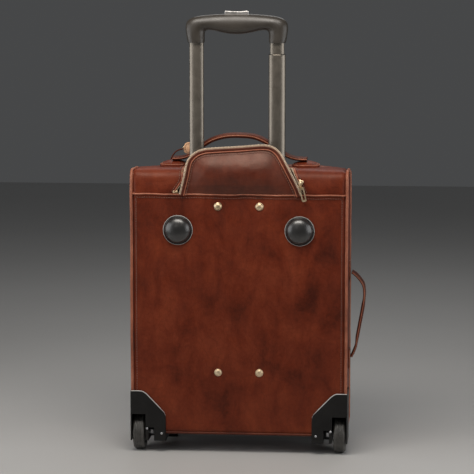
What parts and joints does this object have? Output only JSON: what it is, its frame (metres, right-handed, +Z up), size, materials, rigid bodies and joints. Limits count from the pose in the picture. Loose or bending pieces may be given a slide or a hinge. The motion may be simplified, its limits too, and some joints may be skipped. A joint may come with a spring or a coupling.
{
  "type": "rolling laptop case",
  "caption": "Upright leather case on two wheels with a telescopic pull handle, zip-off handle cover, side-opening front lid, laptop sleeve, and top and side carry handles.",
  "frame": {"origin": "middle of the bounding box, on the plane the wheels and front feet stand on", "axes": "+Z up; the rear face with the pull handle looks along -Y; +X is the side with the side carry handle"},
  "size_m": [0.3962, 0.2286, 0.748],
  "materials": {
    "leather": "reddish brown pull-up leather, mottled, satin",
    "tan_leather": "natural tan leather",
    "lining": "woven beige lining",
    "board": "fibre board stiffener",
    "black_plastic": "moulded black, satin to gloss",
    "grip_plastic": "satin dark taupe grey moulding",
    "rubber": "dark grey rubber with fine ribs",
    "tube_metal": "gunmetal anodised, satin",
    "chrome": "satin chrome",
    "steel": "zinc plated",
    "brass": "pale antique brass, polished",
    "zip_tape": "woven taupe zip tape with coil teeth"
  },
  "bodies": {
    "case": {"rear_panel": "leather", "shoulder_left": "leather", "shoulder_right": "leather", "top_gusset": "leather", "bottom_gusset": "leather", "left_gusset": "leather", "right_gusset": "leather", "top_handle": "leather", "top_handle_patch_left": "leather", "top_handle_patch_right": "leather", "side_handle": "leather", "side_handle_patch_upper": "leather", "side_handle_patch_lower": "leather", "tag_strap": "leather", "lining_board": "lining", "laptop_sleeve": "lining", "well_liner": "lining", "rear_stiffener": "board", "well_floor": "black_plastic", "upper_bracket": "black_plastic", "lower_bracket": "black_plastic", "corner_guard_left": "black_plastic", "corner_guard_right": "black_plastic", "front_foot_left": "black_plastic", "front_foot_right": "black_plastic", "rear_bumper_left": "black_plastic", "rear_bumper_right": "black_plastic", "outer_tube_left": "tube_metal", "outer_tube_right": "tube_metal", "axle_bolt_left": "steel", "axle_bolt_right": "steel", "rivet_upper_left": "brass", "rivet_upper_right": "brass", "rivet_lower_left": "brass", "rivet_lower_right": "brass", "cover_zip_slider": "brass", "main_zip_slider": "brass", "main_zip_tape": "zip_tape"},
    "right_stage": {"mid_tube_right": "tube_metal"},
    "left_stage": {"mid_tube_left": "tube_metal"},
    "pull_handle": {"inner_tube_left": "tube_metal", "inner_tube_right": "tube_metal", "grip_rear_shell": "grip_plastic", "grip_front_shell": "grip_plastic", "button_spring": "steel"},
    "release_button": {"button": "chrome", "pull_rod_left": "steel", "pull_rod_right": "steel"},
    "left_wheel": {"tyre_left": "rubber", "hub_left": "grip_plastic"},
    "right_wheel": {"tyre_right": "rubber", "hub_right": "grip_plastic"},
    "cover": {"handle_cover": "leather", "cover_zip_tape": "zip_tape"},
    "cover_pull": {"cover_zip_pull": "brass"},
    "lid": {"lid_frame": "leather", "lid_panel": "leather", "front_pocket": "leather"},
    "main_pull": {"main_zip_pull": "brass"},
    "tag": {"luggage_tag": "tan_leather"}
  },
  "joints": [
    {"name": "right_stage_slide", "type": "slide", "parent": "case", "child": "right_stage", "axis": [0, 0, 1], "range_m": [-0.239, 0]},
    {"name": "handle_slide", "type": "slide", "parent": "right_stage", "child": "pull_handle", "axis": [0, 0, 1], "range_m": [-0.018, 0.221]},
    {"name": "left_stage_slide", "type": "slide", "parent": "case", "child": "left_stage", "axis": [0, 0, 1], "range_m": [-0.018, 0.221]},
    {"name": "button_press", "type": "slide", "parent": "pull_handle", "child": "release_button", "axis": [0, 0, -1], "range_m": [0, 0.0035], "stiffness_N_per_m": 1500, "springref_m": -0.002, "deforming": ["button_spring"]},
    {"name": "left_wheel_spin", "type": "hinge", "parent": "case", "child": "left_wheel", "pos_m": [-0.18455, -0.074, 0.031], "axis": [1, 0, 0], "continuous": true},
    {"name": "right_wheel_spin", "type": "hinge", "parent": "case", "child": "right_wheel", "pos_m": [0.15745, -0.074, 0.031], "axis": [1, 0, 0], "continuous": true},
    {"name": "cover_fold", "type": "hinge", "parent": "case", "child": "cover", "pos_m": [-0.01355, -0.1043, 0.443], "axis": [1, 0, 0], "range_deg": [-4, 150]},
    {"name": "lid_open", "type": "hinge", "parent": "case", "child": "lid", "pos_m": [-0.19605, 0.054, 0.259], "axis": [0, 0, 1], "range_deg": [0, 110]},
    {"name": "cover_pull_swing", "type": "hinge", "parent": "case", "child": "cover_pull", "pos_m": [0.09195, -0.1054, 0.456], "axis": [-1, 0, 0], "range_deg": [0, 80]},
    {"name": "main_pull_swing", "type": "hinge", "parent": "case", "child": "main_pull", "pos_m": [0.02045, 0.054, 0.4842], "axis": [0, 1, 0], "range_deg": [0, 80]},
    {"name": "tag_swing", "type": "hinge", "parent": "case", "child": "tag", "pos_m": [-0.11505, -0.013, 0.512], "axis": [0, 1, 0], "range_deg": [-12, 12]}
  ],
  "couplings": [
    {"joint": "left_stage_slide", "follows": "handle_slide", "ratio": 1}
  ]
}
